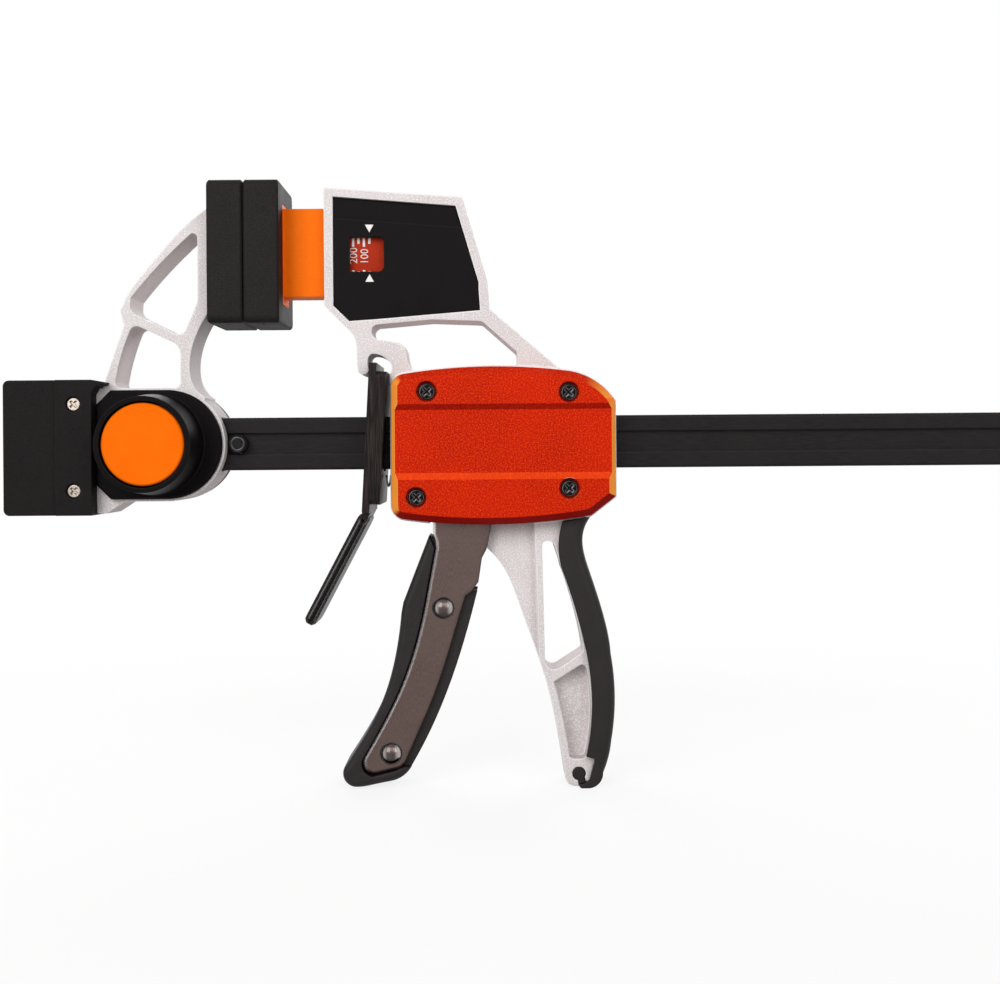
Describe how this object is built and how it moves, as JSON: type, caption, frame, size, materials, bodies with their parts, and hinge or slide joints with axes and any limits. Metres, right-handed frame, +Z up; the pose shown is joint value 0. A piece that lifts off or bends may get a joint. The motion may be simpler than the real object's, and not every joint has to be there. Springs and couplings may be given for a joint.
{
  "type": "quick release bar clamp",
  "caption": "One-handed trigger bar clamp with aluminium jaws, soft pads, release lever, removable fixed jaw and a spring clamping force gauge.",
  "frame": {"origin": "centre line of the bar, in the plane where the closed pads meet", "axes": "+X along the bar from the fixed jaw, +Y to the back, +Z up through the jaws"},
  "size_m": [0.3952, 0.0397, 0.2054],
  "materials": {
    "cast_aluminium": "bead blasted",
    "orange_paint": "fine metallic speckle",
    "black_bar": "black oxide",
    "bright_steel": "polished",
    "satin_steel": "satin",
    "spring_steel": "bright wire",
    "black_plastic": "fine texture",
    "gloss_black": "dipped",
    "orange_plastic": "smooth",
    "red_plastic": "smooth",
    "white_plastic": "printed scale",
    "nylon": "smooth",
    "pad_rubber": "fine texture",
    "black_screw": "black oxide"
  },
  "bodies": {
    "body": {"body_casting": "cast_aluminium", "front_cover": "orange_paint", "back_cover": "orange_paint", "cover_screws_front": "black_screw", "cover_screws_back": "black_screw", "rear_grip": "black_plastic", "housing_front": "black_plastic", "housing_back": "black_plastic", "front_guide": "nylon", "rear_guide": "nylon", "trigger_pin": "satin_steel", "drive_spring": "spring_steel", "brake_spring": "spring_steel", "indicator_spring_lower": "spring_steel", "indicator_spring_upper": "spring_steel"},
    "bar_and_jaw": {"bar": "black_bar", "stop_pins": "black_bar", "fixed_jaw_casting": "cast_aluminium", "hub_cap_front": "black_plastic", "hub_cap_back": "black_plastic", "coupler_block": "black_plastic", "coupler_screws": "bright_steel", "fixed_pad": "pad_rubber", "button_spring": "spring_steel"},
    "button": {"push_button": "orange_plastic", "lock_pin": "satin_steel"},
    "trigger": {"trigger_plate_front": "satin_steel", "trigger_plate_back": "satin_steel", "trigger_grip": "black_plastic", "trigger_rivets": "bright_steel"},
    "drive": {"drive_plate_1": "satin_steel", "drive_plate_2": "satin_steel", "drive_plate_3": "satin_steel"},
    "brake": {"release_lever": "satin_steel", "lever_sleeve": "gloss_black", "brake_plate_1": "satin_steel", "brake_plate_2": "satin_steel", "brake_plate_3": "satin_steel"},
    "indicator": {"plunger": "red_plastic", "moving_pad": "pad_rubber", "scale_plate_front": "white_plastic", "scale_plate_back": "white_plastic"}
  },
  "joints": [
    {"name": "bar_slide", "type": "slide", "parent": "body", "child": "bar_and_jaw", "axis": [1, 0, 0], "range_m": [-0.15, 0]},
    {"name": "trigger_squeeze", "type": "hinge", "parent": "body", "child": "trigger", "pos_m": [0.072, 0, 0.0154], "axis": [0, -1, 0], "range_deg": [0, 16], "stiffness_Nm_per_rad": 1.2, "springref_deg": -20.05},
    {"name": "drive_push", "type": "slide", "parent": "body", "child": "drive", "axis": [1, 0, 0], "range_m": [0, 0.00427], "deforming": ["drive_spring"]},
    {"name": "brake_release", "type": "hinge", "parent": "body", "child": "brake", "pos_m": [0.0418, 0, 0.025], "axis": [0, -1, 0], "range_deg": [0, 3.2], "stiffness_Nm_per_rad": 1.5, "springref_deg": -8.59, "deforming": ["brake_spring"]},
    {"name": "button_press", "type": "slide", "parent": "bar_and_jaw", "child": "button", "axis": [0, 1, 0], "range_m": [0, 0.0055], "stiffness_N_per_m": 600, "springref_m": -0.003, "deforming": ["button_spring"]},
    {"name": "indicator_push", "type": "slide", "parent": "body", "child": "indicator", "axis": [1, 0, 0], "range_m": [0, 0.0125], "stiffness_N_per_m": 3000, "springref_m": -0.002, "deforming": ["indicator_spring_lower", "indicator_spring_upper"]}
  ],
  "couplings": [
    {"joint": "drive_push", "follows": "trigger_squeeze", "m_per_rad": 0.015219}
  ]
}
